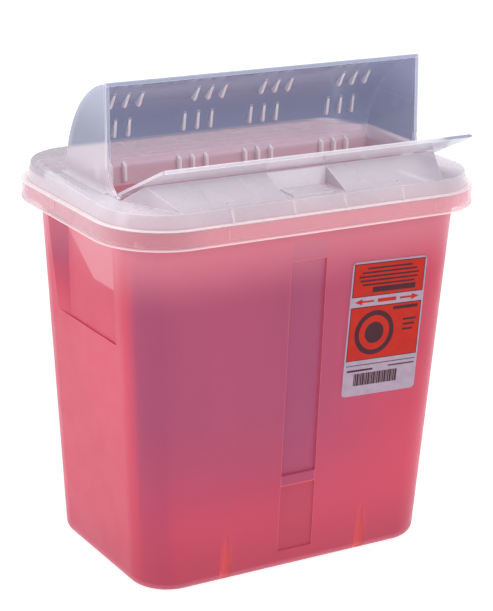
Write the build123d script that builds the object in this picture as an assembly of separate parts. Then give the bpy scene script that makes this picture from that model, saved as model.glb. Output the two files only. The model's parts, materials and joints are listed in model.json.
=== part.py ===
"""Two gallon sharps container with a press-fit lid, a clear hood and a swinging drop door.

Millimetres, +Z up, +X to the right along the wide front face, -Y towards the front.
The origin is on the table, under the middle of the container.
"""
import os
from math import atan2, cos, radians, sin

from build123d import *

# ---------------------------------------------------------------- driving dimensions
# container: a tapered tub with a turned-down rim
BASE_WIDTH = 211.4
BASE_DEPTH = 138.2
BASE_CORNER = 26.5
BASE_ROUND = 7.0                  # fillet around the foot
WIDTH_TAPER = 28.5 / 231.6        # how much wider the tub gets for each mm of height
DEPTH_TAPER = 16.5 / 231.6
CORNER_TAPER = 1.5 / 231.6
WALL = 2.0
FLOOR = 2.4
RIM_TOP = 241.4
RIM_THICK = 2.0
RIM_LIP_DROP = 7.0
RIM_LIP_WALL = 1.6
RIM_WIDTH = 261.5
RIM_DEPTH = 174.8
RIM_CORNER = 40.8

# hand grips in the two short sides
GRIP_BOTTOM = 161.5
GRIP_DEPTH = 12.0                 # under the rim; the grip floor slopes outwards to its foot
GRIP_FOOT_DEPTH = 1.2
GRIP_TOP_Y = (-43.5, -40.5, 42.0, 49.5)    # mouth, floor, floor, mouth, from front to back
GRIP_FOOT_Y = (-41.5, -40.5, 24.0, 39.0)

# sight channel, denting flutes in the front wall
CHANNEL_HALF = 12.7
CHANNEL_UPPER = (66.0, 210.0)
CHANNEL_LOWER = (13.0, 58.8)
CHANNEL_UPPER_DEPTH = 1.8
CHANNEL_LOWER_DEPTH = 1.1
FLUTE_X = 51.0
FLUTE_CONE_TOP = 50.0             # the cone leaves the wall at 37 mm
FLUTE_RADIUS = 6.0
FLUTE_TIP_RADIUS = 0.3
FLUTE_OUT = 3.0                   # how far its axis lies outside the wall

# shared by all the mouldings
CUT_MARGIN = 12.0                 # cutting solids reach this far outside what they cut
OVERLAP = 0.4                     # solids that are joined reach this far into each other

# lid
LID_WIDTH = 266.7
LID_DEPTH = 180.0
LID_CORNER = 43.4
LID_WALL = 1.8
BEAD = 0.4
BEAD_HEIGHT = 1.4
SKIRT_BOTTOM = 231.6
LEDGE_Z = 243.6
LOW_TOP = 252.4                   # deck in front of the door and around the hood
HIGH_TOP = 256.0                  # deck behind the hood
STEP_INSET = 3.4                  # upper step, measured in from the skirt at the ledge
STEP_DRAFT = 2.8
DECK_SLOPE_FRONT = -28.0
DECK_SLOPE_BACK = 50.0
WELL_HALF = 124.0
WELL_BACK = 58.0
WELL_CORNER = 8.0
MOUTH_HALF = 113.4
MOUTH_FRONT = -41.0
MOUTH_BACK = 33.5
STEP_ROUND = 2.2
SNAP_BITE = 1.2                   # how far the snap bead reaches under the rim
SNAP_SPAN = (0.8, 2.2)            # above the bottom of the skirt

# ridge across the lid that the open door leans on
RIDGE_FRONT = -82.5
RIDGE_CREST = -56.5
RIDGE_BACK = -42.2
RIDGE_CREST_Z = 263.65
RIDGE_HALF_FRONT = 91.0
RIDGE_HALF_CREST = 104.7
RIDGE_HALF_BACK = 112.5
RIDGE_END_DRAFT = 1.5
RIDGE_DRAFT_ANGLE = 8.0
RIDGE_SHIFT = (2.4, 1.4, 1.25)    # front foot, back foot and crest for each mm drawn in
RIDGE_ROOT = 1.0                  # how far it starts below the deck
POCKET_HALF = 21.4
POCKET_BACK = -57.8
POCKET_PAD = (28.0, 15.0, 0.6)
POCKET_PAD_Y = -70.5
GUSSET_X = 70.0
GUSSET_THICK = 1.4
STEP_RIB_X = (18.3, 61.0)
STEP_RIB_THICK = 1.2
STEP_RIB_PROUD = 1.15
LOCK_MARK_Y = -78.0
LOCK_MARK_RADIUS = 0.9
LOCK_MARK_Z = (0.4, 2.0)          # above the deck, into the slope of the ridge

# hinge line of the door, which is also the axis of the hood's curved wall
HINGE_Y = -35.0
HINGE_Z = 252.9
PIN_RADIUS = 1.6
PIN_CLEARANCE = 0.05
PIN_END_GAP = 0.2                 # between the end of a pin and the outside of the hood
EAR_RADIUS = 3.9

# hood
HOOD_RADIUS = 67.9
HOOD_WALL = 1.6
HOOD_HALF = 113.0
HOOD_TOP_ANGLE = 79.0             # degrees above the horizontal, measured from the back
HOOD_LOW_ANGLE = -10.5
FRONT_EDGE_Y = -24.6
FRONT_EDGE_FOOT = 15.0            # above the hinge line, where the front edge bends forward
FRONT_EDGE_BEND = (3.4, 6.6)      # middle of the bend: forward of the edge, above the hinge line
EDGE_BEAD = 0.4
EDGE_BEAD_WIDTH = 2.4
EDGE_BEAD_ANGLE = 2.0
FLANGE_WIDTH = 2.2
FLANGE_THICK = 1.0
FLANGE_SEAT = 0.02                # above the deck
BARB_GROUPS = (-83.8, -24.5, 24.5, 83.8)
BARB_PITCH = 9.9
BARB_THICK = 1.8
BARB_HEIGHT = 3.9
BARB_ROWS = (                     # angles of the apex, of full height and of the tail
    (53.9, 44.4, 42.0),
    (30.3, 20.7, 18.3),
    (2.6, 1.0, -9.5),
)
BARB_UNDERCUT = 1.2               # degrees
LUG_Y = (-14.0, 10.0)
LUG_HALF = 5.0
LUG_DROP = 5.0
LUG_GAP = 0.1                     # below the underside of the deck
LUG_BITE = 1.9

# door
DOOR_REST_ANGLE = 25.5            # above the horizontal, pointing forward
DOOR_LENGTH = 60.5
DOOR_THICK = 1.6
DOOR_OFFSET = 1.6                 # middle of the plate above the hinge line
DOOR_HALF = 110.6
DOOR_CORNER = 2.5
DOOR_LIP_WIDTH = 1.8
DOOR_LIP_PROUD = 0.3
BARREL_RADIUS = 2.4

# label on the front wall
LABEL_X = 59.2
LABEL_Z = 157.4
LABEL_WIDTH = 56.6
LABEL_HEIGHT = 90.7
LABEL_CORNER = 3.0
LABEL_TURN = 2.1                  # degrees clockwise
LABEL_THICK = 0.3
PRINT_THICK = 0.12

# print on the label, measured from the label's middle
PANEL_HALF = LABEL_WIDTH / 2 - 1.7
PANEL_FRAME = 0.5
UPPER_PANEL = (22.4, 43.6)
LOWER_PANEL = (-20.6, 14.6)
ROUNDEL_CENTRE = (-7.6, -3.0)
ROUNDEL_RADIUS = 15.0
ROUNDEL_RING = 3.4
ROUNDEL_DISC = 7.2
LINE_TOP = 41.2
LINE_PITCH = 2.7
LINE_HALF = 0.6
LINE_REACH = (17.0, 21.0, 23.0, 22.0, 20.0)
HEADING_BAR = (-12.0, 21.0, 24.3, 28.0)
TITLE_BAR = (5.5, 24.5, 11.0, 13.2)
NOTE_LEFT = 14.0
NOTE_TOP = 3.6
NOTE_PITCH = 3.4
NOTE_HALF = 0.7
NOTE_REACH = (24.0, 23.0, 22.0)
ARROW_Y = 18.5
ARROW_TIP = 24.5
ARROW_TAIL = 10.0
ARROW_HEAD = (5.5, 2.0)           # length and half width
ARROW_SHAFT = 0.6
MIDDLE_BAR = 7.0
RULE_SPAN = (-24.6, -24.2)
SMALL_BARS = ((6.0, 26.1, -27.6, -26.8), (-25.6, -6.0, -28.6, -27.4))
CODE_SPAN = (-38.4, -30.2)
CODE_START = -20.0
CODE_BARS = 24
CODE_WIDTHS = (0.5, 0.95, 1.4)
CODE_GAP = 0.45


# ---------------------------------------------------------------- shared helpers
def half_width(z):
    return (BASE_WIDTH + WIDTH_TAPER * z) / 2


def half_depth(z):
    return (BASE_DEPTH + DEPTH_TAPER * z) / 2


def tub_section(z, inset=0.0):
    """Rounded outline of the tub at height z, drawn in by inset."""
    width = 2 * (half_width(z) - inset)
    depth = 2 * (half_depth(z) - inset)
    corner = BASE_CORNER + CORNER_TAPER * z - inset
    return Plane.XY.offset(z) * RectangleRounded(width, depth, corner)


def rounded_block(width, depth, corner, low, high):
    return extrude(Plane.XY.offset(low) * RectangleRounded(width, depth, corner), high - low)


def side_prism(points, low_x, high_x):
    """Prism along X whose outline is a polygon of (y, z) points."""
    outline = make_face(Plane.YZ * Polyline(*points, close=True))
    return Pos(low_x, 0, 0) * extrude(outline, high_x - low_x, dir=(1, 0, 0))


def front_prism(points, low_y, high_y):
    """Prism along Y whose outline is a polygon of (x, z) points."""
    wire = Polyline(*[(x, 0, z) for x, z in points], close=True)
    return Pos(0, low_y, 0) * extrude(make_face(wire), high_y - low_y, dir=(0, 1, 0))


def at_hinge(radius, angle):
    """Point (y, z) at a distance from the hinge line, angle up from the back."""
    turn = radians(angle)
    return (HINGE_Y + radius * cos(turn), HINGE_Z + radius * sin(turn))


def along_hinge(radius, half_length):
    return Pos(0, HINGE_Y, HINGE_Z) * Rot(0, 90, 0) * Cylinder(radius, 2 * half_length)


def mirrored(shape):
    return mirror(shape, about=Plane.YZ)


# ---------------------------------------------------------------- container body
def front_channel(span, depth, grow=0.0):
    """Shallow upright channel in the front wall, grown by a wall for its inside."""
    low, high = span
    low -= grow
    high += grow
    points = [
        (-half_depth(low) - CUT_MARGIN, low),
        (-half_depth(low) + depth + grow, low),
        (-half_depth(high) + depth + grow, high),
        (-half_depth(high) - CUT_MARGIN, high),
    ]
    reach = CHANNEL_HALF + grow
    return side_prism(points, -reach, reach)


def flute(side, grow=0.0):
    """Tapering flute at the foot of the front wall."""
    upright = (Align.CENTER, Align.CENTER, Align.MIN)
    cone = Cone(FLUTE_RADIUS + grow, FLUTE_TIP_RADIUS + grow, FLUTE_CONE_TOP + grow, align=upright)
    return Pos(side * FLUTE_X, -half_depth(0) - FLUTE_OUT, 0) * cone


def grip_section(z, depth, ends, grow):
    """Plan of the grip in the right-hand wall at height z."""
    wall = half_width(z)
    front_mouth, front_floor, back_floor, back_mouth = ends
    plan = [
        (wall + CUT_MARGIN, front_mouth - grow),
        (wall, front_mouth - grow),
        (wall - depth - grow, front_floor - grow),
        (wall - depth - grow, back_floor + grow),
        (wall, back_mouth + grow),
        (wall + CUT_MARGIN, back_mouth + grow),
    ]
    return Plane.XY.offset(z) * make_face(Polyline(*plan, close=True))


def hand_grip(grow=0.0):
    """Hollow of a grip: shallow at its foot, deepest at the rim, with a slanted back end."""
    foot = grip_section(GRIP_BOTTOM - grow, GRIP_FOOT_DEPTH, GRIP_FOOT_Y, grow)
    top = grip_section(RIM_TOP - RIM_THICK, GRIP_DEPTH, GRIP_TOP_Y, grow)
    return loft([foot, top], ruled=True)


def container_body():
    outside = loft([tub_section(0), tub_section(RIM_TOP)])
    outside = fillet(outside.edges().group_by(Axis.Z)[0], BASE_ROUND)
    inside = loft([tub_section(FLOOR, WALL), tub_section(RIM_TOP + CUT_MARGIN, WALL)])
    inside = fillet(inside.edges().group_by(Axis.Z)[0], BASE_ROUND - WALL)
    for span, depth in ((CHANNEL_UPPER, CHANNEL_UPPER_DEPTH), (CHANNEL_LOWER, CHANNEL_LOWER_DEPTH)):
        outside -= front_channel(span, depth)
        inside -= front_channel(span, depth, WALL)
    for side in (-1, 1):
        outside -= flute(side)
        inside -= flute(side, WALL)
    outside -= hand_grip()
    outside -= mirrored(hand_grip())
    inside -= hand_grip(WALL)
    inside -= mirrored(hand_grip(WALL))
    low = RIM_TOP - RIM_THICK - OVERLAP
    mouth = loft([tub_section(low, WALL), tub_section(RIM_TOP + CUT_MARGIN, WALL)])
    flange = rounded_block(RIM_WIDTH, RIM_DEPTH, RIM_CORNER, RIM_TOP - RIM_THICK, RIM_TOP) - mouth
    lip = rounded_block(RIM_WIDTH, RIM_DEPTH, RIM_CORNER, RIM_TOP - RIM_LIP_DROP, RIM_TOP)
    lip -= rounded_block(
        RIM_WIDTH - 2 * RIM_LIP_WALL,
        RIM_DEPTH - 2 * RIM_LIP_WALL,
        RIM_CORNER - RIM_LIP_WALL,
        RIM_TOP - RIM_LIP_DROP - CUT_MARGIN,
        RIM_TOP - RIM_THICK,
    )
    lip -= mouth
    return (outside - inside) + flange + lip


# ---------------------------------------------------------------- lid
def ridge(inset=0.0):
    """Long ridge with a gentle front, a steep back and slanted ends."""
    front_shift, back_shift, crest_shift = RIDGE_SHIFT
    base = LOW_TOP - RIDGE_ROOT - inset
    front = RIDGE_FRONT + front_shift * inset
    back = RIDGE_BACK - back_shift * inset
    crest_z = RIDGE_CREST_Z - crest_shift * inset
    outline = [
        (front, base),
        (front, LOW_TOP - inset),
        (RIDGE_CREST, crest_z),
        (back, LOW_TOP - inset),
        (back, base),
    ]
    bar = side_prism(outline, -RIDGE_HALF_BACK - CUT_MARGIN, RIDGE_HALF_BACK + CUT_MARGIN)
    ends = RIDGE_END_DRAFT - 2 * inset
    plan = [
        (-RIDGE_HALF_FRONT - ends, RIDGE_FRONT - RIDGE_END_DRAFT),
        (RIDGE_HALF_FRONT + ends, RIDGE_FRONT - RIDGE_END_DRAFT),
        (RIDGE_HALF_CREST + ends, RIDGE_CREST),
        (RIDGE_HALF_BACK + ends, RIDGE_BACK + RIDGE_END_DRAFT),
        (-RIDGE_HALF_BACK - ends, RIDGE_BACK + RIDGE_END_DRAFT),
        (-RIDGE_HALF_CREST - ends, RIDGE_CREST),
    ]
    footprint = make_face(Polyline(*plan, close=True))
    trim = Pos(0, 0, base) * extrude(footprint, RIDGE_CREST_Z - base + OVERLAP, taper=RIDGE_DRAFT_ANGLE)
    return bar & trim


def finger_pocket(grow=0.0):
    corner = (Align.CENTER, Align.MAX, Align.MIN)
    box = Box(2 * (POCKET_HALF + grow), 3 * CUT_MARGIN, 2 * CUT_MARGIN, align=corner)
    return Pos(0, POCKET_BACK + grow, LOW_TOP - grow) * box


def deck_trim(drop=0.0):
    """Everything above the deck, which falls from the back to the front."""
    points = [
        (-LID_DEPTH, LOW_TOP - drop),
        (DECK_SLOPE_FRONT, LOW_TOP - drop),
        (DECK_SLOPE_BACK, HIGH_TOP - drop),
        (LID_DEPTH, HIGH_TOP - drop),
        (LID_DEPTH, HIGH_TOP + CUT_MARGIN),
        (-LID_DEPTH, HIGH_TOP + CUT_MARGIN),
    ]
    return side_prism(points, -LID_WIDTH, LID_WIDTH)


def lid_well(grow=0.0):
    """Sunk area around the hood, open towards the front."""
    back = WELL_BACK + grow
    front = -LID_DEPTH
    outline = RectangleRounded(2 * (WELL_HALF + grow), back - front, WELL_CORNER + grow)
    return Pos(0, (back + front) / 2, LOW_TOP - grow) * extrude(outline, 2 * CUT_MARGIN)


def step_rib(x):
    """Small upright rib on the front of the upper step."""
    front = STEP_INSET - LID_DEPTH / 2
    points = [
        (front + CUT_MARGIN, LOW_TOP - OVERLAP),
        (front + STEP_DRAFT - STEP_RIB_PROUD, LOW_TOP - 2 * OVERLAP),
        (front - STEP_RIB_PROUD, LEDGE_Z - OVERLAP),
        (front + CUT_MARGIN, LEDGE_Z - OVERLAP),
    ]
    return side_prism(points, x - STEP_RIB_THICK / 2, x + STEP_RIB_THICK / 2)


def upper_step(inset, low, high):
    """Upper step of the lid, drawn in by inset."""
    sections = []
    for drawn_in, z in ((STEP_INSET + inset, low), (STEP_INSET + STEP_DRAFT + inset, high)):
        outline = RectangleRounded(
            LID_WIDTH - 2 * drawn_in, LID_DEPTH - 2 * drawn_in, LID_CORNER - drawn_in
        )
        sections.append(Plane.XY.offset(z) * outline)
    return loft(sections)


def lid_outside():
    flat_width = LID_WIDTH - 2 * BEAD
    flat_depth = LID_DEPTH - 2 * BEAD
    skirt = rounded_block(flat_width, flat_depth, LID_CORNER - BEAD, SKIRT_BOTTOM, LEDGE_Z)
    skirt += rounded_block(LID_WIDTH, LID_DEPTH, LID_CORNER, SKIRT_BOTTOM, SKIRT_BOTTOM + BEAD_HEIGHT)
    skirt += rounded_block(LID_WIDTH, LID_DEPTH, LID_CORNER, LEDGE_Z - BEAD_HEIGHT, LEDGE_Z)
    step = upper_step(0, LEDGE_Z, HIGH_TOP)
    upper = fillet(step.edges().group_by(Axis.Z)[-1], STEP_ROUND) - deck_trim()
    outside = skirt + upper - lid_well() + ridge() - finger_pocket()
    pad = Box(*POCKET_PAD, align=(Align.CENTER, Align.CENTER, Align.MIN))
    outside += Pos(0, POCKET_PAD_Y, LOW_TOP) * pad
    for x in STEP_RIB_X:
        outside += step_rib(x) + step_rib(-x)
    return outside


def lid_cavity():
    width = LID_WIDTH - 2 * (BEAD + LID_WALL)
    depth = LID_DEPTH - 2 * (BEAD + LID_WALL)
    corner = LID_CORNER - BEAD - LID_WALL
    cavity = rounded_block(width, depth, corner, SKIRT_BOTTOM - OVERLAP, LEDGE_Z - LID_WALL)
    hollow_step = upper_step(LID_WALL, LEDGE_Z - LID_WALL, HIGH_TOP - LID_WALL) - deck_trim(LID_WALL)
    hollow_ridge = ridge(LID_WALL)
    for x in (-GUSSET_X, GUSSET_X):
        hollow_ridge -= Pos(x, RIDGE_CREST, LOW_TOP) * Box(GUSSET_THICK, LID_DEPTH, 4 * CUT_MARGIN)
    return cavity + (hollow_step - lid_well(LID_WALL) + hollow_ridge - finger_pocket(LID_WALL))


def snap_bead():
    """Bead inside the skirt that reaches under the rim of the tub."""
    low = SKIRT_BOTTOM + SNAP_SPAN[0]
    high = SKIRT_BOTTOM + SNAP_SPAN[1]
    bead = rounded_block(LID_WIDTH - 2 * BEAD, LID_DEPTH - 2 * BEAD, LID_CORNER - BEAD, low, high)
    hole_width = RIM_WIDTH - 2 * SNAP_BITE
    hole_depth = RIM_DEPTH - 2 * SNAP_BITE
    hole_corner = RIM_CORNER - SNAP_BITE
    return bead - rounded_block(hole_width, hole_depth, hole_corner, SKIRT_BOTTOM, high + OVERLAP)


def lid():
    mouth = Box(2 * MOUTH_HALF, MOUTH_BACK - MOUTH_FRONT, 2 * CUT_MARGIN)
    body = lid_outside() - lid_cavity() + snap_bead()
    body -= Pos(0, (MOUTH_BACK + MOUTH_FRONT) / 2, LOW_TOP) * mouth
    mark_low, mark_high = LOCK_MARK_Z
    for x in (-STEP_RIB_X[1], STEP_RIB_X[1]):
        middle = LOW_TOP + (mark_low + mark_high) / 2
        body -= Pos(x, LOCK_MARK_Y, middle) * Cylinder(LOCK_MARK_RADIUS, mark_high - mark_low)
    return body


# ---------------------------------------------------------------- hood
def hood_wall(inner, outer, low_angle, high_angle, half_length):
    """Part of a drum about the hinge line."""
    ring = Circle(outer) - Circle(inner)
    reach = 2 * outer
    points = [(0, 0)]
    steps = 3
    for k in range(steps + 1):
        angle = radians(low_angle + (high_angle - low_angle) * k / steps)
        points.append((reach * cos(angle), reach * sin(angle)))
    sector = make_face(Polyline(*points, close=True))
    end_plane = Plane(origin=(-half_length, HINGE_Y, HINGE_Z), x_dir=(0, 1, 0), z_dir=(1, 0, 0))
    return extrude(end_plane * (ring & sector), 2 * half_length, dir=(1, 0, 0))


def panel_outline():
    """Outline of a side panel: curved back, upright front edge, ear around the hinge pin."""
    top = at_hinge(HOOD_RADIUS, HOOD_TOP_ANGLE)
    middle = at_hinge(HOOD_RADIUS, (HOOD_TOP_ANGLE + HOOD_LOW_ANGLE) / 2)
    low = at_hinge(HOOD_RADIUS, HOOD_LOW_ANGLE)
    ear_foot = (HINGE_Y, HINGE_Z - EAR_RADIUS)
    ear_front = (HINGE_Y - EAR_RADIUS, HINGE_Z)
    edge_foot = (FRONT_EDGE_Y, HINGE_Z + FRONT_EDGE_FOOT)
    edge_bend = (FRONT_EDGE_Y - FRONT_EDGE_BEND[0], HINGE_Z + FRONT_EDGE_BEND[1])
    back = ThreePointArc(low, middle, top)
    front = Line(top, edge_foot)
    bend = ThreePointArc(edge_foot, edge_bend, ear_front)
    nose = ThreePointArc(ear_front, at_hinge(EAR_RADIUS, -135), ear_foot)
    foot = Line(ear_foot, low)
    return make_face(Plane.YZ * (back + front + bend + nose + foot))


def front_edge_bead():
    """Thicker rim along the upright front edge of a panel."""
    top = at_hinge(HOOD_RADIUS, HOOD_TOP_ANGLE)
    points = [
        (top[0], top[1] - EDGE_BEAD / 2),
        (FRONT_EDGE_Y, HINGE_Z + FRONT_EDGE_FOOT),
        (FRONT_EDGE_Y + EDGE_BEAD_WIDTH, HINGE_Z + FRONT_EDGE_FOOT),
        (top[0] + EDGE_BEAD_WIDTH, top[1] - EDGE_BEAD_WIDTH / 2),
    ]
    return side_prism(points, HOOD_HALF - HOOD_WALL - EDGE_BEAD, HOOD_HALF + EDGE_BEAD)


def barb(x, apex, full, tail):
    """Tooth on the curved wall: flush at its upper end, standing proud at its lower end."""
    wall = HOOD_RADIUS - HOOD_WALL
    points = [
        at_hinge(wall + OVERLAP, apex),
        at_hinge(wall - OVERLAP / 2, apex),
        at_hinge(wall - BARB_HEIGHT, full),
        at_hinge(wall - BARB_HEIGHT, tail + BARB_UNDERCUT),
        at_hinge(wall + OVERLAP, tail),
    ]
    return side_prism(points, x - BARB_THICK / 2, x + BARB_THICK / 2)


def base_flange():
    """Narrow flange that seats the hood on the lid's deck, left open at the front."""
    reach = HOOD_HALF + FLANGE_WIDTH
    length = HINGE_Y + HOOD_RADIUS + FLANGE_WIDTH - FRONT_EDGE_Y
    outer = Box(2 * reach, length, FLANGE_THICK, align=(Align.CENTER, Align.MIN, Align.MIN))
    hole_half = HOOD_HALF - HOOD_WALL / 2
    hole_length = HINGE_Y + HOOD_RADIUS - HOOD_WALL / 2 - FRONT_EDGE_Y
    hole = Box(2 * hole_half, hole_length, CUT_MARGIN, align=(Align.CENTER, Align.MIN, Align.CENTER))
    return Pos(0, FRONT_EDGE_Y, LOW_TOP + FLANGE_SEAT) * (outer - hole)


def snap_lugs():
    """Wedges below the deck that hold the hood in the mouth of the lid."""
    root = HOOD_HALF - HOOD_WALL / 2
    top = LOW_TOP - LID_WALL - LUG_GAP
    points = [
        (root, top),
        (HOOD_HALF + LUG_BITE, top),
        (root + OVERLAP, top - LUG_DROP),
        (root, top - LUG_DROP),
    ]
    lugs = []
    for y in LUG_Y:
        lug = front_prism(points, y - LUG_HALF, y + LUG_HALF)
        lugs += [lug, mirrored(lug)]
    return lugs


def hood():
    inner = HOOD_RADIUS - HOOD_WALL
    shell = hood_wall(inner, HOOD_RADIUS, HOOD_LOW_ANGLE, HOOD_TOP_ANGLE, HOOD_HALF)
    bead_low = HOOD_TOP_ANGLE - EDGE_BEAD_ANGLE
    shell += hood_wall(inner - EDGE_BEAD, HOOD_RADIUS + EDGE_BEAD, bead_low, HOOD_TOP_ANGLE, HOOD_HALF)
    panel = extrude(Pos(HOOD_HALF - HOOD_WALL, 0, 0) * panel_outline(), HOOD_WALL, dir=(1, 0, 0))
    side = panel + front_edge_bead()
    shell += side + mirrored(side)
    shell += base_flange()
    for lug in snap_lugs():
        shell += lug
    for group in BARB_GROUPS:
        for row in BARB_ROWS:
            for k in (-1, 0, 1):
                shell += barb(group + k * BARB_PITCH, *row)
    return shell - along_hinge(PIN_RADIUS + PIN_CLEARANCE, HOOD_HALF + CUT_MARGIN)


# ---------------------------------------------------------------- drop door
def drop_door():
    tilt = radians(DOOR_REST_ANGLE)
    leaning = Plane(origin=(0, HINGE_Y, HINGE_Z), x_dir=(1, 0, 0), z_dir=(0, sin(tilt), cos(tilt)))
    low = DOOR_OFFSET - DOOR_THICK / 2
    plate = extrude(Rectangle(2 * DOOR_HALF, DOOR_LENGTH, align=(Align.CENTER, Align.MAX)), DOOR_THICK)
    plate = fillet(plate.edges().filter_by(Axis.Z).group_by(Axis.Y)[0], DOOR_CORNER)
    lip_length = 2 * (DOOR_HALF - DOOR_CORNER)
    lip_height = DOOR_THICK + 2 * DOOR_LIP_PROUD
    lip = Box(lip_length, DOOR_LIP_WIDTH, lip_height, align=(Align.CENTER, Align.MIN, Align.MIN))
    leaf = leaning * (Pos(0, 0, low) * (plate + Pos(0, -DOOR_LENGTH, -DOOR_LIP_PROUD) * lip))
    pins = along_hinge(PIN_RADIUS, HOOD_HALF - PIN_END_GAP)
    return leaf + along_hinge(BARREL_RADIUS, DOOR_HALF) + pins


# ---------------------------------------------------------------- label
def label_plane():
    lean = atan2(DEPTH_TAPER / 2, 1)
    turn = radians(LABEL_TURN)
    outward = Vector(0, -cos(lean), -sin(lean))
    up = Vector(0, -sin(lean), cos(lean))
    across = Vector(1, 0, 0) * cos(turn) - up * sin(turn)
    return Plane(origin=(LABEL_X, -half_depth(LABEL_Z), LABEL_Z), x_dir=across, z_dir=outward)


def label_sheet():
    sheet = RectangleRounded(LABEL_WIDTH, LABEL_HEIGHT, LABEL_CORNER)
    return label_plane() * extrude(sheet, LABEL_THICK)


def bar(x0, x1, y0, y1):
    """Flat printed bar given by its edges on the label, from the middle of the label."""
    return Pos((x0 + x1) / 2, (y0 + y1) / 2) * Rectangle(x1 - x0, y1 - y0)


def arrow(tip, tail, y):
    """Plain arrow with its point at tip."""
    head_length, head_half = ARROW_HEAD
    neck = tip - head_length if tip > tail else tip + head_length
    head = make_face(Polyline((tip, y), (neck, y + head_half), (neck, y - head_half), close=True))
    return head + bar(min(neck, tail), max(neck, tail), y - ARROW_SHAFT, y + ARROW_SHAFT)


def roundel():
    """Plain ring around a plain disc."""
    ring = Circle(ROUNDEL_RADIUS) - Circle(ROUNDEL_RADIUS - ROUNDEL_RING)
    return Pos(*ROUNDEL_CENTRE) * (ring + Circle(ROUNDEL_DISC))


def dark_marks():
    """The roundel, and plain bars that stand where lines of print would be."""
    marks = [roundel(), bar(*HEADING_BAR), bar(*TITLE_BAR)]
    for row, reach in enumerate(LINE_REACH):
        y = LINE_TOP - LINE_PITCH * row
        marks.append(bar(-reach, reach, y - 2 * LINE_HALF, y))
    for row, reach in enumerate(NOTE_REACH):
        y = NOTE_TOP - NOTE_PITCH * row
        marks.append(bar(NOTE_LEFT, reach, y - NOTE_HALF, y + NOTE_HALF))
    return marks


def orange_ink():
    ink = bar(-PANEL_HALF, PANEL_HALF, *UPPER_PANEL) + bar(-PANEL_HALF, PANEL_HALF, *LOWER_PANEL)
    for mark in dark_marks():
        ink -= mark
    for side in (-1, 1):
        ink += arrow(side * ARROW_TIP, side * ARROW_TAIL, ARROW_Y)
    return ink + bar(-MIDDLE_BAR, MIDDLE_BAR, ARROW_Y - 2 * ARROW_SHAFT, ARROW_Y + 2 * ARROW_SHAFT)


def stripe_code():
    """Plain upright stripes of three widths in turn."""
    stripes = Sketch()
    x = CODE_START
    for k in range(CODE_BARS):
        width = CODE_WIDTHS[k % len(CODE_WIDTHS)]
        stripes += bar(x, x + width, *CODE_SPAN)
        x += width + CODE_GAP
    return stripes


def dark_ink():
    ink = Sketch()
    for mark in dark_marks():
        ink += mark
    for low, high in (UPPER_PANEL, LOWER_PANEL):
        reach = PANEL_HALF + PANEL_FRAME
        frame = bar(-reach, reach, low - PANEL_FRAME, high + PANEL_FRAME)
        ink += frame - bar(-PANEL_HALF, PANEL_HALF, low, high)
    ink += bar(-PANEL_HALF, PANEL_HALF, *RULE_SPAN)
    for edges in SMALL_BARS:
        ink += bar(*edges)
    return ink + stripe_code()


def printed(ink):
    return label_plane() * (Pos(0, 0, LABEL_THICK) * extrude(ink, PRINT_THICK))


# ---------------------------------------------------------------- output
def main():
    os.makedirs("parts", exist_ok=True)
    nodes = {
        "container_body": container_body(),
        "lid": lid(),
        "hood": hood(),
        "drop_door": drop_door(),
        "label_sheet": label_sheet(),
        "label_orange_print": printed(orange_ink()),
        "label_dark_print": printed(dark_ink()),
    }
    for name, shape in nodes.items():
        export_step(shape, f"parts/{name}.step")


main()
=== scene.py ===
"""Looks of the sharps container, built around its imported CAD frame.

Metres, +Z up, +X to the right along the wide front face, -Y towards the front.
"""
import json
import math

import bmesh
import bpy
from mathutils import Matrix, Vector


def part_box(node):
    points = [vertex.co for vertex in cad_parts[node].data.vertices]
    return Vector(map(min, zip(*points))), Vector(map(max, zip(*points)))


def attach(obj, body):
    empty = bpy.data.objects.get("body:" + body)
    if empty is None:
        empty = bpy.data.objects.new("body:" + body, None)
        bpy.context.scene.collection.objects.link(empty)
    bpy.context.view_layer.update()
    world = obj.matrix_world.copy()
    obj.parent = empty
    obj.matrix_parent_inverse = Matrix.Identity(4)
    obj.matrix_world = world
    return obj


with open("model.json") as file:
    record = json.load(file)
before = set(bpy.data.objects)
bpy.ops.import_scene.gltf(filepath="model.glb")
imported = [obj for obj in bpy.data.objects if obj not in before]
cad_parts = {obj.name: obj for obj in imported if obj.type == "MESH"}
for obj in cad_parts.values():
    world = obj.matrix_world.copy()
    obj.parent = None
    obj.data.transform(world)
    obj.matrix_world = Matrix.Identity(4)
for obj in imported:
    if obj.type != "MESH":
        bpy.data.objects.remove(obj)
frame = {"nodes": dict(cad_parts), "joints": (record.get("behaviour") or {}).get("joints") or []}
bpy.context.view_layer.update()

# ---------------------------------------------------------------- places on the object
hinge = Vector(frame["joints"][0]["pos_m"])
lid_low, lid_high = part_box("lid")

# Tub
FRONT_Y = -0.0585             # the front wall lies in front of this
CHANNEL_HALF = 0.0122         # half the width of the upright channel
CHANNEL_BOTTOM = 0.014
CHANNEL_STEP = 0.059          # between the channel and its foot
CHANNEL_TOP = 0.21
CHANNEL_FADE = 0.222          # a faint band goes on up to here
FLUTE_X = 0.051               # left and right of the middle
PATCH_INNER_X = 0.102         # the painted light patch in each hand grip, between these
PATCH_OUTER_X = 0.1139
PATCH_FRONT = -0.0395
PATCH_BACK = 0.034
PATCH_BOTTOM = 0.1925
PATCH_SLOPE = 0.56            # rise of its lower edge towards the back
PATCH_SLOPE_Y = -0.004        # and where that rise starts
RIM_Z = 0.235

# Lid
LEDGE_Z = 0.2436              # step between the skirt and the upper part
DECK_Z = 0.2524
INNER_Z = 0.2465              # the walls inside the lid's outline lie above this
RIDGE_Y = -0.04               # the ridge lies in front of this
REAR_Y = 0.033                # the rear deck lies behind this
OUTER_FRONT_Y = -0.078        # the lid's outer front face lies in front of this
RIM_LINES = ((0.2314, 0.2322, 0.0004), (0.2434, 0.2438, 0.0003))   # painted highlight lines on the skirt: from, to, softness
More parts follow.
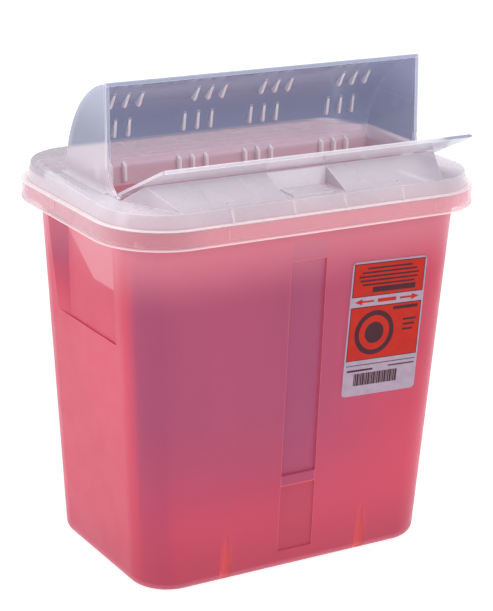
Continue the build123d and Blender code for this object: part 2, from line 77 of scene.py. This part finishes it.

# Hood
HOOD_INNER = 0.0663           # inner radius of the curved wall, about the hinge line
HOOD_PANEL_X = 0.1111         # the side panels lie outside this
HOOD_PANEL_FRONT = -0.0221    # their front edges lie in front of this
HOOD_CLEAR_Z = 0.27           # line below which the lid shows through the hood
HOOD_CLEAR_DROP = 0.0088      # its fall towards the right
HOOD_CLEAR_SLOPE = 0.27       # its rise towards the front on the left panel
HOOD_CLEAR_Y = 0.03           # and where that rise starts
TEETH_X = 0.107               # the teeth lie inside this

# Door
DOOR_END_X = 0.0885           # its painted dark slate corner lies outside this
DOOR_END_RADIUS = 0.031       # and further than this from the hinge line


# ---------------------------------------------------------------- material helpers
def rgba(colour):
    if isinstance(colour, bpy.types.NodeSocket) or len(colour) == 4:
        return colour
    return (*colour, 1.0)


class Shader:
    """Short ways to add and link the nodes of one material."""

    def __init__(self, name):
        self.mat = bpy.data.materials.new(name)
        self.mat.use_nodes = True
        self.tree = self.mat.node_tree
        self.tree.nodes.clear()
        self.out = self.tree.nodes.new("ShaderNodeOutputMaterial")
        self.coords = self.tree.nodes.new("ShaderNodeTexCoord").outputs["Object"]

    def feed(self, socket, value):
        if isinstance(value, bpy.types.NodeSocket):
            self.tree.links.new(value, socket)
        else:
            socket.default_value = value

    def noise(self, scale, detail=3.0, rough=0.5, stretch=None):
        vector = self.coords
        if stretch:
            mapping = self.tree.nodes.new("ShaderNodeMapping")
            self.feed(mapping.inputs["Vector"], vector)
            mapping.inputs["Scale"].default_value = stretch
            vector = mapping.outputs["Vector"]
        node = self.tree.nodes.new("ShaderNodeTexNoise")
        self.feed(node.inputs["Vector"], vector)
        node.inputs["Scale"].default_value = scale
        node.inputs["Detail"].default_value = detail
        node.inputs["Roughness"].default_value = rough
        return node.outputs["Fac"]

    def axis(self, name):
        node = self.tree.nodes.new("ShaderNodeSeparateXYZ")
        self.feed(node.inputs[0], self.coords)
        return node.outputs[name]

    def math(self, operation, a, b=0.0, clamp=False):
        node = self.tree.nodes.new("ShaderNodeMath")
        node.operation = operation
        node.use_clamp = clamp
        self.feed(node.inputs[0], a)
        self.feed(node.inputs[1], b)
        return node.outputs[0]

    def absolute(self, value):
        return self.math("ABSOLUTE", value)

    def product(self, first, *others):
        for other in others:
            first = self.math("MULTIPLY", first, other)
        return first

    def total(self, first, *others):
        """Sum, held between 0 and 1."""
        for other in others:
            first = self.math("ADD", first, other, clamp=True)
        return first

    def either(self, a, b):
        return self.math("MAXIMUM", a, b)

    def span(self, value, low, high, to_low=0.0, to_high=1.0):
        """Maps value from low..high to to_low..to_high, smoothly and clamped."""
        node = self.tree.nodes.new("ShaderNodeMapRange")
        node.interpolation_type = "SMOOTHSTEP"
        self.feed(node.inputs["Value"], value)
        node.inputs["From Min"].default_value = low
        node.inputs["From Max"].default_value = high
        node.inputs["To Min"].default_value = to_low
        node.inputs["To Max"].default_value = to_high
        return node.outputs["Result"]

    def above(self, value, line, soft):
        """1 where value is above the line, 0 below it, turning over soft to each side."""
        return self.span(value, line - soft, line + soft)

    def below(self, value, line, soft):
        return self.span(value, line + soft, line - soft)

    def within(self, value, low, high, soft):
        """1 where value lies between low and high, falling to 0 over soft."""
        rise = self.span(value, low - soft, low)
        fall = self.span(value, high + soft, high)
        return self.product(rise, fall)

    def blend(self, factor, a, b):
        node = self.tree.nodes.new("ShaderNodeMix")
        node.data_type = "RGBA"
        self.feed(node.inputs["Factor"], factor)
        self.feed(node.inputs["A"], rgba(a))
        self.feed(node.inputs["B"], rgba(b))
        return node.outputs["Result"]

    def toward(self, colour, other, *factors):
        """The colour, turned towards the other one by the product of the factors."""
        return self.blend(self.product(*factors), colour, other)

    def clouded(self, noise, colours, low=0.3, high=0.7):
        """Two near colours, mixed by a noise."""
        return self.blend(self.span(noise, low, high), *colours)

    def bump(self, height, strength, distance, normal=None):
        node = self.tree.nodes.new("ShaderNodeBump")
        self.feed(node.inputs["Height"], height)
        node.inputs["Strength"].default_value = strength
        node.inputs["Distance"].default_value = distance
        if normal:
            self.feed(node.inputs["Normal"], normal)
        return node.outputs["Normal"]

    def gloss(self, scale, low, high, detail=4.0):
        """Roughness that varies between low and high."""
        return self.span(self.noise(scale, detail=detail), 0.25, 0.75, low, high)

    def edge(self, radius):
        """1 along the edges of the mouldings and 0 on their faces."""
        rounded = self.tree.nodes.new("ShaderNodeBevel")
        rounded.samples = 6
        rounded.inputs["Radius"].default_value = radius
        plain = self.tree.nodes.new("ShaderNodeNewGeometry")
        alike = self.tree.nodes.new("ShaderNodeVectorMath")
        alike.operation = "DOT_PRODUCT"
        self.tree.links.new(rounded.outputs["Normal"], alike.inputs[0])
        self.tree.links.new(plain.outputs["Normal"], alike.inputs[1])
        return self.span(alike.outputs["Value"], 0.985, 0.8)

    def normal_y(self):
        """Y of the surface's direction: -1 where it faces the front."""
        plain = self.tree.nodes.new("ShaderNodeNewGeometry")
        parts = self.tree.nodes.new("ShaderNodeSeparateXYZ")
        self.tree.links.new(plain.outputs["Normal"], parts.inputs[0])
        return parts.outputs["Y"]

    def from_hinge(self):
        """Distance from the door's hinge line."""
        y = self.math("SUBTRACT", self.axis("Y"), hinge.y)
        z = self.math("SUBTRACT", self.axis("Z"), hinge.z)
        return self.math("SQRT", self.math("ADD", self.product(y, y), self.product(z, z)))

    def facing(self, blend):
        node = self.tree.nodes.new("ShaderNodeLayerWeight")
        node.inputs["Blend"].default_value = blend
        return node.outputs["Facing"]

    def surface(self, colour, roughness, normal, **plain):
        node = self.tree.nodes.new("ShaderNodeBsdfPrincipled")
        self.feed(node.inputs["Base Color"], rgba(colour))
        self.feed(node.inputs["Roughness"], roughness)
        self.feed(node.inputs["Normal"], normal)
        for key, value in plain.items():
            node.inputs[key.replace("_", " ")].default_value = value
        return node.outputs["BSDF"]

    def see_through(self, opacity, solid, tint):
        """Lets the part of what is behind through that the solid surface doesn't cover."""
        clear = self.tree.nodes.new("ShaderNodeBsdfTransparent")
        self.feed(clear.inputs["Color"], rgba(tint))
        mix = self.tree.nodes.new("ShaderNodeMixShader")
        self.feed(mix.inputs["Fac"], opacity)
        self.tree.links.new(clear.outputs["BSDF"], mix.inputs[1])
        self.tree.links.new(solid, mix.inputs[2])
        return mix.outputs["Shader"]

    def finish(self, shader):
        self.tree.links.new(shader, self.out.inputs["Surface"])
        return self.mat


# ---------------------------------------------------------------- red tub
def tub_wall(s):
    """Warm red with a painted purplish reflection on the middle of the front wall, painted shade at the
    front left corner, and darker at the foot.
    """
    x, z, turn = s.axis("X"), s.axis("Z"), s.normal_y()
    warm = s.clouded(s.noise(9.0, detail=2.0), ((0.64, 0.062, 0.124), (0.70, 0.074, 0.145)), 0.35, 0.65)
    flow = s.noise(26.0, detail=4.0, stretch=(1.0, 1.0, 0.25))
    # Painted reflection: a cooler purple on the middle of the front-facing wall.
    purple_reflection = s.clouded(flow, ((0.38, 0.073, 0.178), (0.43, 0.081, 0.195)))
    middle = s.product(s.span(z, 0.02, 0.12), s.span(z, RIM_Z, 0.19))
    colour = s.toward(warm, purple_reflection, middle, s.span(turn, -0.2, -0.6), s.span(x, 0.1, -0.02), 0.85)
    # Painted shade: the front left corner turned darker and more purple.
    corner = s.product(s.within(turn, -0.88, -0.5, 0.1), s.span(x, 0.0, -0.08))
    colour = s.toward(colour, (0.32, 0.055, 0.15), corner, 0.28)
    return s.toward(colour, (0.44, 0.045, 0.095), s.span(z, 0.05, 0.0, 0.0, 0.5))


def tub_channel(s, colour):
    """Upright channel and its foot in painted shade, with painted highlight lines along its sides and at its
    ends.
    """
    x, z = s.axis("X"), s.axis("Z")
    front = s.below(s.axis("Y"), FRONT_Y, 0.0035)
    channel = s.product(s.within(x, -CHANNEL_HALF, CHANNEL_HALF, 0.0012), front)
    # Painted shade: the recessed channel darker and more purple, its foot darker red.
    upright = s.product(channel, s.within(z, CHANNEL_STEP + 0.0002, CHANNEL_FADE, 0.001))
    colour = s.toward(colour, (0.35, 0.07, 0.185), upright, 0.5)
    foot = s.product(channel, s.within(z, CHANNEL_BOTTOM, CHANNEL_STEP - 0.0002, 0.0004))
    colour = s.toward(colour, (0.48, 0.05, 0.1), foot, 0.4)
    # Painted highlight lines along the channel's sides.
    side_highlights = s.product(s.within(s.absolute(x), CHANNEL_HALF + 0.0002, CHANNEL_HALF + 0.0008, 0.0003), front)
    side_highlights = s.product(side_highlights, s.within(z, CHANNEL_BOTTOM, CHANNEL_TOP, 0.001))
    colour = s.toward(colour, (0.78, 0.17, 0.27), side_highlights, 0.45)
    # Painted highlight lines across the channel at its step and its top.
    step, top = (s.within(z, line - 0.0002, line + 0.0002, 0.0006) for line in (CHANNEL_STEP, CHANNEL_TOP))
    return s.toward(colour, (0.95, 0.16, 0.15), channel, s.either(step, top), 0.8)


def tub_flute_highlights(s, colour):
    """Painted highlight on the two short flutes at the foot of the front wall, where they catch the light.
    """
    off = s.absolute(s.math("SUBTRACT", s.absolute(s.axis("X")), FLUTE_X))
    flute = s.product(s.span(off, 0.005, 0.0025), s.below(s.axis("Y"), FRONT_Y, 0.0035))
    return s.toward(colour, (0.85, 0.1, 0.09), flute, s.span(s.axis("Z"), 0.04, 0.012), 0.7)


def tub_top_light(s, colour):
    """Painted light: pale under the rim, outside and on the inside of the back wall."""
    y, z, wide = s.axis("Y"), s.axis("Z"), s.absolute(s.axis("X"))
    colour = s.toward(colour, (0.80, 0.32, 0.40), s.span(z, 0.185, RIM_Z - 0.001), 0.75)
    inside = s.product(s.span(s.normal_y(), -0.3, -0.7), s.span(y, 0.03, 0.05), s.span(z, 0.13, 0.19))
    return s.toward(colour, (0.92, 0.6, 0.7), inside, s.span(wide, 0.105, 0.1), 0.8)


def tub_grip_light(s, colour):
    """Painted light patch in each hand grip, with a lower edge that slants up towards the back."""
    y, wide = s.axis("Y"), s.absolute(s.axis("X"))
    slant = s.product(s.math("MAXIMUM", s.math("SUBTRACT", y, PATCH_SLOPE_Y), 0.0), PATCH_SLOPE)
    lift = s.math("SUBTRACT", s.math("SUBTRACT", s.axis("Z"), slant), PATCH_BOTTOM)
    patch = s.product(s.span(lift, 0.0, 0.0015), s.within(y, PATCH_FRONT, PATCH_BACK, 0.0006))
    patch = s.product(patch, s.above(wide, PATCH_INNER_X, 0.002), s.below(wide, PATCH_OUTER_X, 0.0003))
    return s.toward(colour, (0.88, 0.42, 0.48), patch, 0.55)


def red_plastic():
    """Translucent red polypropylene with a fine moulded grain."""
    s = Shader("red_plastic")
    colour = tub_wall(s)
    for part in (tub_channel, tub_flute_highlights, tub_top_light, tub_grip_light):
        colour = part(s, colour)
    # Painted highlights: lighter along the edges of the mouldings.
    colour = s.toward(colour, (0.85, 0.25, 0.3), s.edge(0.001), 0.3)
    grain = s.bump(s.noise(900.0, detail=2.0, rough=0.6), 0.12, 0.0002)
    normal = s.bump(s.noise(14.0, detail=2.0), 0.08, 0.002, grain)
    solid = s.surface(colour, s.gloss(60.0, 0.28, 0.4), normal, IOR=1.49)
    opacity = s.span(s.facing(0.35), 0.0, 1.0, 0.6, 0.88)
    return s.finish(s.see_through(opacity, solid, (0.985, 0.7, 0.77)))


# ---------------------------------------------------------------- milky lid
def lid_shades(s):
    """Milky white, with painted shade on the rear deck, redder on the skirt and darker towards the skirt's
    left end; also says where the skirt is.
    """
    x, y, z = s.axis("X"), s.axis("Y"), s.axis("Z")
    colour = s.clouded(s.noise(16.0), ((0.76, 0.73, 0.78), (0.84, 0.81, 0.85)))
    # Painted shade on the rear deck.
    rear = s.product(s.above(y, REAR_Y, 0.003), s.span(z, DECK_Z - 0.0029, DECK_Z - 0.0009))
    colour = s.toward(colour, (0.46, 0.42, 0.46), rear, 0.75)
    skirt = s.span(z, 0.2455, 0.2425)
    colour = s.blend(skirt, colour, (0.93, 0.73, 0.77))
    return s.toward(colour, (0.72, 0.64, 0.68), skirt, s.span(x, -0.07, -0.1)), skirt


def lid_walls(s, colour):
    """Painted light on the front-facing walls inside the lid and on the ridge, which lie in shade under the
    door; also says how much less they let through.
    """
    y, z, wide = s.axis("Y"), s.axis("Z"), s.absolute(s.axis("X"))
    crest_light = s.product(s.span(z, DECK_Z + 0.0002, DECK_Z + 0.0008), s.below(y, RIDGE_Y, 0.004))
    behind = s.span(y, OUTER_FRONT_Y - 0.002, OUTER_FRONT_Y + 0.003)
    inner = s.product(s.span(s.normal_y(), -0.3, -0.7), behind, s.span(z, INNER_Z - 0.0005, INNER_Z + 0.001))
    inner = s.product(inner, s.either(s.span(wide, 0.104, 0.1), s.span(y, 0.0, 0.02)))
    colour = s.blend(crest_light, colour, (0.72, 0.68, 0.73))
    colour = s.blend(inner, colour, (1.0, 0.96, 1.0))
    return colour, s.either(s.product(crest_light, 0.4), inner)


def lid_edge_highlights(s):
    """1 along the painted highlight lines of the skirt, less along the ribs above it."""
    z = s.axis("Z")
    rim_highlights = s.either(*(s.within(z, *line) for line in RIM_LINES))
    ribs = s.product(s.edge(0.0006), s.span(z, LEDGE_Z + 0.0004, LEDGE_Z + 0.001, 0.0, 0.75))
    return s.either(s.product(rim_highlights, 0.55), ribs)


def milky_plastic():
    """Milky polypropylene that lets the red show through where it lies close behind."""
    s = Shader("milky_plastic")
    colour, skirt = lid_shades(s)
    colour, denser = lid_walls(s, colour)
    edge = lid_edge_highlights(s)
    # Painted highlights: near-white along the skirt's lines and ribs, which also let less through.
    colour = s.blend(edge, colour, (1.0, 0.98, 0.95))
    normal = s.bump(s.noise(60.0), 0.045, 0.0005)
    gloss = s.gloss(45.0, 0.2, 0.32)
    solid = s.surface(colour, gloss, normal, IOR=1.49, Coat_Weight=0.4, Coat_Roughness=0.12)
    least = s.span(skirt, 0.0, 1.0, 0.38, 0.15)
    opacity = s.total(least, s.product(s.facing(0.4), 0.4), s.product(edge, 0.6), s.product(denser, 0.35))
    tint = s.blend(skirt, (0.93, 0.89, 0.92), (1.0, 0.86, 0.89))
    return s.finish(s.see_through(opacity, solid, tint))


# ---------------------------------------------------------------- clear hood and door
def hood_upper(s):
    """1 in the slate part of the hood, above the line where the lid begins to show through it."""
    x = s.axis("X")
    drop = s.span(x, 0.07, 0.12, 0.0, HOOD_CLEAR_DROP)
    rise = s.product(s.math("SUBTRACT", HOOD_CLEAR_Y, s.axis("Y")), HOOD_CLEAR_SLOPE)
    rise = s.product(rise, s.below(x, -HOOD_PANEL_X, 0.0003))
    line = s.math("SUBTRACT", s.math("ADD", s.axis("Z"), drop), rise)
    return s.above(line, HOOD_CLEAR_Z, 0.0015)


def hood_zones(s):
    """Painted slate above the deck, the dark backdrop seen through; below it a clearer, painted pale haze;
    painted glow on the teeth, painted light on the side panels, and a painted sheen on the top band.
    """
    x, z = s.axis("X"), s.axis("Z")
    wide = s.absolute(x)
    upper = hood_upper(s)
    panel = s.above(wide, HOOD_PANEL_X, 0.0003)
    # Painted slate: the dark backdrop seen through the clear plastic, kept as its tint.
    slate = s.clouded(s.noise(12.0), ((0.105, 0.115, 0.21), (0.135, 0.145, 0.25)))
    # Painted light: a pale pink haze below the deck, where the mouth lies in shade.
    milky_red = s.blend(panel, (1.0, 0.86, 0.92), (0.78, 0.74, 0.79))
    under = s.blend(s.span(z, 0.256, 0.263), milky_red, (0.84, 0.77, 0.8))
    colour = s.blend(upper, under, slate)
    # Painted light on the side panels, stronger on the left one.
    colour = s.toward(colour, (0.8, 0.8, 0.85), panel, s.span(x, -0.11, 0.11, 0.45, 0.22))
    # Painted sheen: a pale band along the top of the curved wall.
    colour = s.toward(colour, (0.82, 0.85, 0.94), s.span(z, 0.28, 0.32, 0.0, 0.72))
    # Painted glow on the teeth, which are white and let less through.
    tooth_glow = s.span(s.from_hinge(), HOOD_INNER - 0.0002, HOOD_INNER - 0.001)
    tooth_glow = s.product(tooth_glow, s.below(wide, TEETH_X, 0.001))
    colour = s.blend(tooth_glow, colour, (1.0, 1.0, 1.0))
    # Painted highlight along the front edges of the side panels.
    rim = s.product(s.below(s.axis("Y"), HOOD_PANEL_FRONT, 0.0003), panel)
    colour = s.blend(rim, colour, (0.9, 0.89, 0.92))
    least = s.span(upper, 0.0, 1.0, 0.16, 0.28)
    sunk = s.span(z, 0.2575, 0.2535, 0.0, 0.3)
    opacity = s.total(least, sunk, s.product(s.facing(0.45), 0.4), s.product(tooth_glow, 0.5))
    tint = s.blend(upper, (0.93, 0.89, 0.93), (0.6, 0.63, 0.77))
    return colour, opacity, tint


def door_zones(s):
    """Hazy and pale, with painted dark slate at its right end, the backdrop seen through."""
    far = s.above(s.from_hinge(), DOOR_END_RADIUS, 0.003)
    # Painted slate: the dark backdrop seen through the door's right end.
    end = s.product(s.above(s.axis("X"), DOOR_END_X, 0.0035), far)
    haze = s.clouded(s.noise(12.0), ((0.78, 0.75, 0.8), (0.84, 0.8, 0.85)))
    colour = s.blend(end, haze, (0.36, 0.37, 0.48))
    opacity = s.total(0.3, s.product(s.facing(0.45), 0.45), s.product(end, 0.15))
    tint = s.blend(end, (0.96, 0.96, 0.98), (0.77, 0.79, 0.88))
    return colour, opacity, tint


def clear_plastic(name, zones):
    """Clear plastic; zones gives its colour, opacity and the tint of what shows through."""
    s = Shader(name)
    colour, opacity, tint = zones(s)
    edge = s.edge(0.0006)
    # Painted highlights: pale along the edges, which also let less through.
    colour = s.blend(edge, colour, (0.92, 0.91, 0.95))
    opacity = s.total(opacity, s.product(edge, 0.5))
    normal = s.bump(s.noise(22.0, detail=1.0), 0.06, 0.001)
    gloss = s.gloss(40.0, 0.12, 0.24)
    solid = s.surface(colour, gloss, normal, IOR=1.5, Coat_Weight=0.7, Coat_Roughness=0.08)
    return s.finish(s.see_through(opacity, solid, tint))


# ---------------------------------------------------------------- label and floor
def printed_surface(name, colours, gloss):
    """Coated label stock or ink: fine fibre mottling and a soft sheen."""
    s = Shader(name)
    colour = s.clouded(s.noise(140.0, detail=5.0, rough=0.65), colours)
    normal = s.bump(s.noise(420.0), 0.12, 0.0001)
    return s.finish(s.surface(colour, s.gloss(80.0, *gloss, detail=3.0), normal, IOR=1.3))


def floor_surface():
    s = Shader("pale_floor")
    colour = s.blend(s.noise(3.0, detail=2.0), (0.24, 0.24, 0.24), (0.28, 0.28, 0.28))
    normal = s.bump(s.noise(60.0), 0.02, 0.001)
    plain = {"Emission_Color": (1.0, 1.0, 1.0, 1.0), "Emission_Strength": 0.88}
    return s.finish(s.surface(colour, 0.7, normal, **plain))


# ---------------------------------------------------------------- mesh helpers
TUBE_SIDES = 8


def piece_from(name, build, material):
    """Makes a mesh piece from a function that fills a bmesh; it rides on the container."""
    bm = bmesh.new()
    build(bm)
    bmesh.ops.recalc_face_normals(bm, faces=bm.faces)
    mesh = bpy.data.meshes.new(name)
    bm.to_mesh(mesh)
    bm.free()
    piece = bpy.data.objects.new(name, mesh)
    bpy.context.scene.collection.objects.link(piece)
    mesh.materials.append(material)
    for polygon in mesh.polygons:
        polygon.use_smooth = True
    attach(piece, "container")


def add_tube(bm, centres, around, thickness, closed=True):
    """Sweeps a small round section along points; around gives two unit axes of the section at each."""
    rings = []
    for centre, (a, b) in zip(centres, around):
        ring = []
        for k in range(TUBE_SIDES):
            turn = 2 * math.pi * k / TUBE_SIDES
            ring.append(bm.verts.new(centre + (a * math.cos(turn) + b * math.sin(turn)) * thickness))
        rings.append(ring)
    following = rings[1:] + rings[:1] if closed else rings[1:]
    for first, second in zip(rings, following):
        for k in range(TUBE_SIDES):
            n = (k + 1) % TUBE_SIDES
            bm.faces.new((first[k], first[n], second[n], second[k]))
    if not closed:
        bm.faces.new(rings[0])
        bm.faces.new(rings[-1])


# ---------------------------------------------------------------- ejector pin marks in the hood
PIN_MARKS = ((-0.0908, 0.299), (-0.022, 0.3005), (0.0172, 0.302), (0.086, 0.302))
PIN_RADIUS = 0.0021
PIN_LINE = 0.00026
PIN_SUNK = 0.0001
PIN_POINTS = 28


def pin_mark(bm, x, z):
    """Round ejector pin mark on the inside of the hood's curved wall."""
    wall = HOOD_INNER - PIN_SUNK
    lift = math.asin((z - hinge.z) / wall)
    out = Vector((0, math.cos(lift), math.sin(lift)))
    rise = Vector((0, -math.sin(lift), math.cos(lift)))
    middle = Vector((x, hinge.y, hinge.z)) + out * wall
    across = Vector((1, 0, 0))
    turns = [2 * math.pi * k / PIN_POINTS for k in range(PIN_POINTS)]
    spokes = [across * math.cos(turn) + rise * math.sin(turn) for turn in turns]
    centres = [middle + spoke * PIN_RADIUS for spoke in spokes]
    add_tube(bm, centres, [(spoke, out) for spoke in spokes], PIN_LINE)


def pin_marks(bm):
    for x, z in PIN_MARKS:
        pin_mark(bm, x, z)


# ---------------------------------------------------------------- mould lines and tab on the lid's skirt
LINE_INSET = 0.0004           # from the lid's box to the middle of a line
LINE_HALF = 0.00036
LINE_FLATNESS = 0.75          # depth of a line's section against its width
LINE_HEIGHTS = (0.0018, 0.004, 0.007, 0.0102)   # above the skirt's bottom
FRONT_LINES_X = (-0.0654, 0.084)
SIDE_LINES_Y = (0.008, -0.015)

TAB_CORNER = 0.0434           # radius of the skirt's corner
TAB_START = 222.5             # degrees around the corner
TAB_ANGLE = 9.0
TAB_STEPS = 8
TAB_END = 0.0006              # how far the tab's ends go in
TAB_SECTION = ((0.0018, 0.0007), (0.0022, 0.0001), (0.0052, 0.0001), (0.0056, 0.0007))   # height, inset


def witness_line(bm, foot, out):
    """Thin upright line left by the mould on the lid's skirt."""
    centres = [foot + Vector((0, 0, height)) for height in LINE_HEIGHTS]
    along = out.cross(Vector((0, 0, 1)))
    add_tube(bm, centres, [(out * LINE_FLATNESS, along)] * len(centres), LINE_HALF, closed=False)


def witness_lines(bm):
    for x in FRONT_LINES_X:
        witness_line(bm, Vector((x, lid_low.y + LINE_INSET, lid_low.z)), Vector((0, -1, 0)))
    for y in SIDE_LINES_Y:
        for side in (-1, 1):
            foot = Vector((side * (lid_high.x - LINE_INSET), y, lid_low.z))
            witness_line(bm, foot, Vector((side, 0, 0)))


def corner_tab(bm):
    """Small raised tab low on the skirt, around the front left corner."""
    centre = Vector((lid_low.x + TAB_CORNER, lid_low.y + TAB_CORNER, lid_low.z))
    grid = []
    for k in range(TAB_STEPS + 1):
        turn = math.radians(TAB_START + TAB_ANGLE * k / TAB_STEPS)
        spoke = Vector((math.cos(turn), math.sin(turn), 0))
        end = TAB_END if k in (0, TAB_STEPS) else 0.0
        grid.append([
            bm.verts.new(centre + spoke * (TAB_CORNER - inset - end) + Vector((0, 0, height)))
            for height, inset in TAB_SECTION
        ])
    for first, second in zip(grid, grid[1:]):
        for k in range(len(TAB_SECTION) - 1):
            bm.faces.new((first[k], first[k + 1], second[k + 1], second[k]))


# ---------------------------------------------------------------- materials on the nodes, added pieces
milky = milky_plastic()
hood_clear = clear_plastic("hood_plastic", hood_zones)
door_clear = clear_plastic("door_plastic", door_zones)
label_stock = ((0.34, 0.26, 0.335), (0.4, 0.31, 0.39))
orange_ink = ((0.42, 0.009, 0.002), (0.48, 0.013, 0.003))
dark_ink = ((0.04, 0.006, 0.013), (0.055, 0.009, 0.018))
looks = {
    "container_body": red_plastic(),
    "lid": milky,
    "hood": hood_clear,
    "drop_door": door_clear,
    "label_sheet": printed_surface("label_stock", label_stock, (0.35, 0.5)),
    "label_orange_print": printed_surface("orange_print", orange_ink, (0.3, 0.42)),
    "label_dark_print": printed_surface("dark_print", dark_ink, (0.3, 0.42)),
}
for name, material in looks.items():
    mesh = frame["nodes"][name].data
    mesh.materials.clear()
    mesh.materials.append(material)

piece_from("hood_pin_marks", pin_marks, door_clear)
piece_from("lid_witness_lines", witness_lines, milky)
piece_from("lid_corner_tab", corner_tab, milky)


# ---------------------------------------------------------------- floor, lights, camera
def make_floor():
    bm = bmesh.new()
    bmesh.ops.create_grid(bm, x_segments=8, y_segments=8, size=4.0)
    mesh = bpy.data.meshes.new("floor")
    bm.to_mesh(mesh)
    bm.free()
    floor = bpy.data.objects.new("floor", mesh)
    mesh.materials.append(floor_surface())
    bpy.context.scene.collection.objects.link(floor)
    floor.location.z = -0.0002


def soft_light(name, place, aim, size, power, colour=(1, 1, 1)):
    data = bpy.data.lights.new(name, "AREA")
    data.shape = "RECTANGLE"
    data.size, data.size_y = size
    data.energy = power
    data.color = colour
    lamp = bpy.data.objects.new(name, data)
    bpy.context.scene.collection.objects.link(lamp)
    lamp.location = place
    lamp.rotation_euler = (Vector(aim) - Vector(place)).to_track_quat("-Z", "Y").to_euler()


def make_world():
    """White where the camera sees it, and a slightly cooler, weaker fill light."""
    world = bpy.data.worlds.new("studio")
    bpy.context.scene.world = world
    world.use_nodes = True
    tree = world.node_tree
    tree.nodes.clear()
    seen = tree.nodes.new("ShaderNodeBackground")
    seen.inputs["Color"].default_value = (1.0, 1.0, 1.0, 1.0)
    seen.inputs["Strength"].default_value = 1.0
    fill = tree.nodes.new("ShaderNodeBackground")
    fill.inputs["Color"].default_value = (0.93, 0.95, 1.0, 1.0)
    fill.inputs["Strength"].default_value = 0.62
    path = tree.nodes.new("ShaderNodeLightPath")
    mix = tree.nodes.new("ShaderNodeMixShader")
    out = tree.nodes.new("ShaderNodeOutputWorld")
    tree.links.new(path.outputs["Is Camera Ray"], mix.inputs["Fac"])
    tree.links.new(fill.outputs["Background"], mix.inputs[1])
    tree.links.new(seen.outputs["Background"], mix.inputs[2])
    tree.links.new(mix.outputs["Shader"], out.inputs["Surface"])


CAMERA_AZIMUTH = math.radians(-30.957)
CAMERA_ELEVATION = math.radians(18.184)
CAMERA_ROLL = math.radians(1.425)
CAMERA_TARGET = Vector((0.0021, 0.0015, 0.1573))
CAMERA_DISTANCE = 1.3188
CAMERA_LENS = 118.44


def make_camera():
    back = Vector((
        math.sin(CAMERA_AZIMUTH) * math.cos(CAMERA_ELEVATION),
        -math.cos(CAMERA_AZIMUTH) * math.cos(CAMERA_ELEVATION),
        math.sin(CAMERA_ELEVATION),
    ))
    right = Vector((math.cos(CAMERA_AZIMUTH), math.sin(CAMERA_AZIMUTH), 0.0))
    up = back.cross(right)
    side = math.cos(CAMERA_ROLL) * right + math.sin(CAMERA_ROLL) * up
    head = -math.sin(CAMERA_ROLL) * right + math.cos(CAMERA_ROLL) * up
    data = bpy.data.cameras.new("camera")
    data.sensor_width = 36.0
    data.lens = CAMERA_LENS
    data.clip_start = 0.05
    data.clip_end = 30.0
    camera = bpy.data.objects.new("camera", data)
    bpy.context.scene.collection.objects.link(camera)
    turn = Matrix((side, head, back)).transposed().to_4x4()
    camera.matrix_world = Matrix.Translation(CAMERA_TARGET + back * CAMERA_DISTANCE) @ turn
    bpy.context.scene.camera = camera


make_floor()
make_world()
soft_light("key", (-1.9, 0.15, 0.85), (0, 0, 0.14), (0.9, 0.9), 14.5, (1.0, 0.98, 0.97))
soft_light("top", (0.0, -0.1, 1.9), (0, 0, 0.2), (1.4, 1.0), 21.0)
soft_light("front", (0.4, -1.7, 1.05), (0, 0, 0.2), (1.0, 0.8), 9.5)
make_camera()
bpy.context.scene.view_settings.view_transform = "Standard"
bpy.context.scene.cycles.transparent_max_bounces = 24

bpy.context.view_layer.update()
